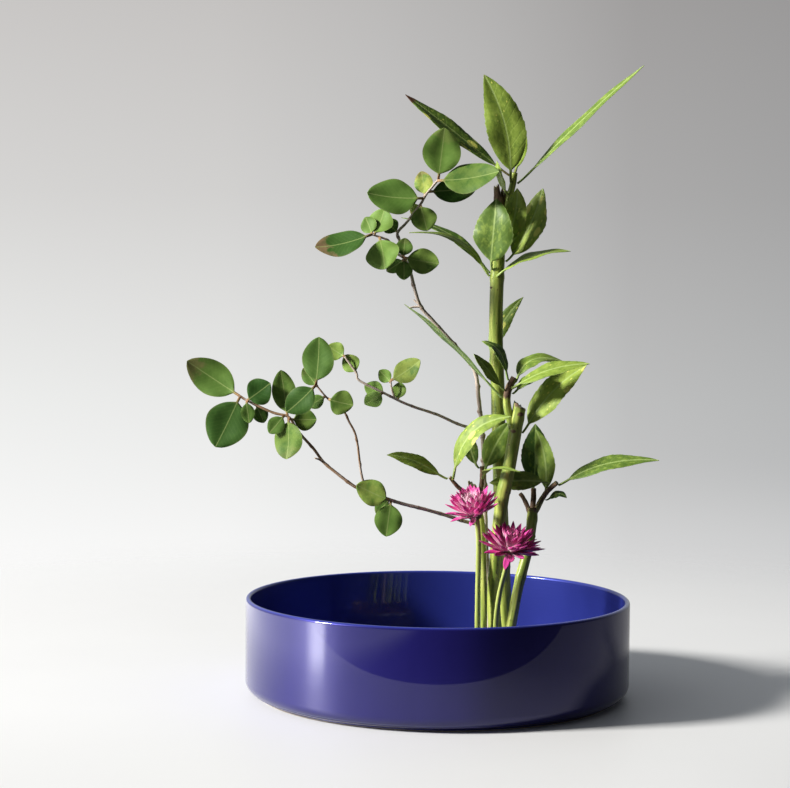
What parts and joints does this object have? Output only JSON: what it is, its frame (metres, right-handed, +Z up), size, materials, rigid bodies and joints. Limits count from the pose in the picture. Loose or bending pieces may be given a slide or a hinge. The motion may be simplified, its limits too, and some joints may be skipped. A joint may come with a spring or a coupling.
{
  "type": "ikebana vase",
  "caption": "Low round glazed ikebana bowl with a straight wall, a weighted needle holder on its floor, and cut branches and flowers standing on the needles.",
  "frame": {"origin": "axis of the bowl, on the surface that its foot ring stands on; the recessed underside is 2.5 mm above it", "axes": "+Z up, +X to the right of the front view, -Y to the front of the arrangement, the side that the flowers face"},
  "size_m": [0.3196, 0.26, 0.4237],
  "materials": {
    "cobalt_glaze": "glossy cobalt-blue glaze",
    "lead_alloy": "dull cast lead alloy",
    "needle_brass": "drawn brass wire, ground to points",
    "black_rubber": "matte moulded rubber",
    "laurel_stem": "smooth green bark with a waxy sheen",
    "laurel_leaf": "glossy evergreen leaf with yellow spots",
    "twig_bark": "thin brown bark, with small round green leaves",
    "flower_stem": "ribbed pale green stem",
    "flower_cup": "matte green scales",
    "flower_heart": "yellow-green florets",
    "petal_magenta": "silky magenta petals, paler below"
  },
  "bodies": {
    "bowl": {"bowl": "cobalt_glaze"},
    "holder": {"holder_rubber_ring": "black_rubber", "holder_weight": "lead_alloy", "holder_needles": "needle_brass"},
    "tall_branch": {"tall_stem": "laurel_stem", "tall_leaf_crown_left": "laurel_leaf", "tall_leaf_crown_upright": "laurel_leaf", "tall_leaf_crown_back": "laurel_leaf", "tall_leaf_crown_right": "laurel_leaf", "tall_leaf_shoot_left": "laurel_leaf", "tall_leaf_front": "laurel_leaf", "tall_leaf_sheath": "laurel_leaf", "tall_leaf_right": "laurel_leaf", "tall_leaf_right_level": "laurel_leaf", "tall_leaf_left_dark": "laurel_leaf", "tall_leaf_left_light": "laurel_leaf", "tall_leaf_behind": "laurel_leaf"},
    "second_branch": {"second_stem": "laurel_stem", "second_leaf_long_left": "laurel_leaf", "second_leaf_striped": "laurel_leaf", "second_leaf_ribbed": "laurel_leaf", "second_leaf_upper_dark": "laurel_leaf", "second_leaf_upper_light": "laurel_leaf", "second_leaf_small_right": "laurel_leaf", "second_leaf_broad": "laurel_leaf"},
    "right_branch": {"right_stem": "laurel_stem", "right_leaf_long": "laurel_leaf", "right_leaf_level": "laurel_leaf", "right_leaf_broad": "laurel_leaf", "right_leaf_upright": "laurel_leaf", "right_leaf_curled": "laurel_leaf"},
    "left_branch": {"left_stem": "laurel_stem", "left_leaf_low": "laurel_leaf", "left_leaf_arching": "laurel_leaf", "left_leaf_dark": "laurel_leaf", "left_leaf_large": "laurel_leaf", "left_leaf_thin": "laurel_leaf"},
    "twig": {"tall_twig": "twig_bark", "middle_spray": "twig_bark", "low_spray": "twig_bark"},
    "flower_1": {"flower_1_stem": "flower_stem", "flower_1_cup": "flower_cup", "flower_1_heart": "flower_heart", "flower_1_petals_outer": "petal_magenta", "flower_1_petals_middle": "petal_magenta", "flower_1_petals_inner": "petal_magenta"},
    "flower_2": {"flower_2_stem": "flower_stem", "flower_2_cup": "flower_cup", "flower_2_heart": "flower_heart", "flower_2_petals_outer": "petal_magenta", "flower_2_petals_middle": "petal_magenta", "flower_2_petals_inner": "petal_magenta"}
  },
  "joints": [
    {"name": "holder_lift", "type": "slide", "parent": "bowl", "child": "holder", "axis": [0, 0, 1], "range_m": [0, 0.08]},
    {"name": "tall_branch_lift", "type": "slide", "parent": "holder", "child": "tall_branch", "axis": [0, 0, 1], "range_m": [0, 0.0085]},
    {"name": "second_branch_lift", "type": "slide", "parent": "holder", "child": "second_branch", "axis": [0, 0, 1], "range_m": [0, 0.0085]},
    {"name": "right_branch_lift", "type": "slide", "parent": "holder", "child": "right_branch", "axis": [0, 0, 1], "range_m": [0, 0.0085]},
    {"name": "left_branch_lift", "type": "slide", "parent": "holder", "child": "left_branch", "axis": [0, 0, 1], "range_m": [0, 0.0085]},
    {"name": "twig_lift", "type": "slide", "parent": "holder", "child": "twig", "axis": [0, 0, 1], "range_m": [0, 0.0085]},
    {"name": "flower_1_lift", "type": "slide", "parent": "holder", "child": "flower_1", "axis": [0, 0, 1], "range_m": [0, 0.0085]},
    {"name": "flower_2_lift", "type": "slide", "parent": "holder", "child": "flower_2", "axis": [0, 0, 1], "range_m": [0, 0.0085]}
  ]
}
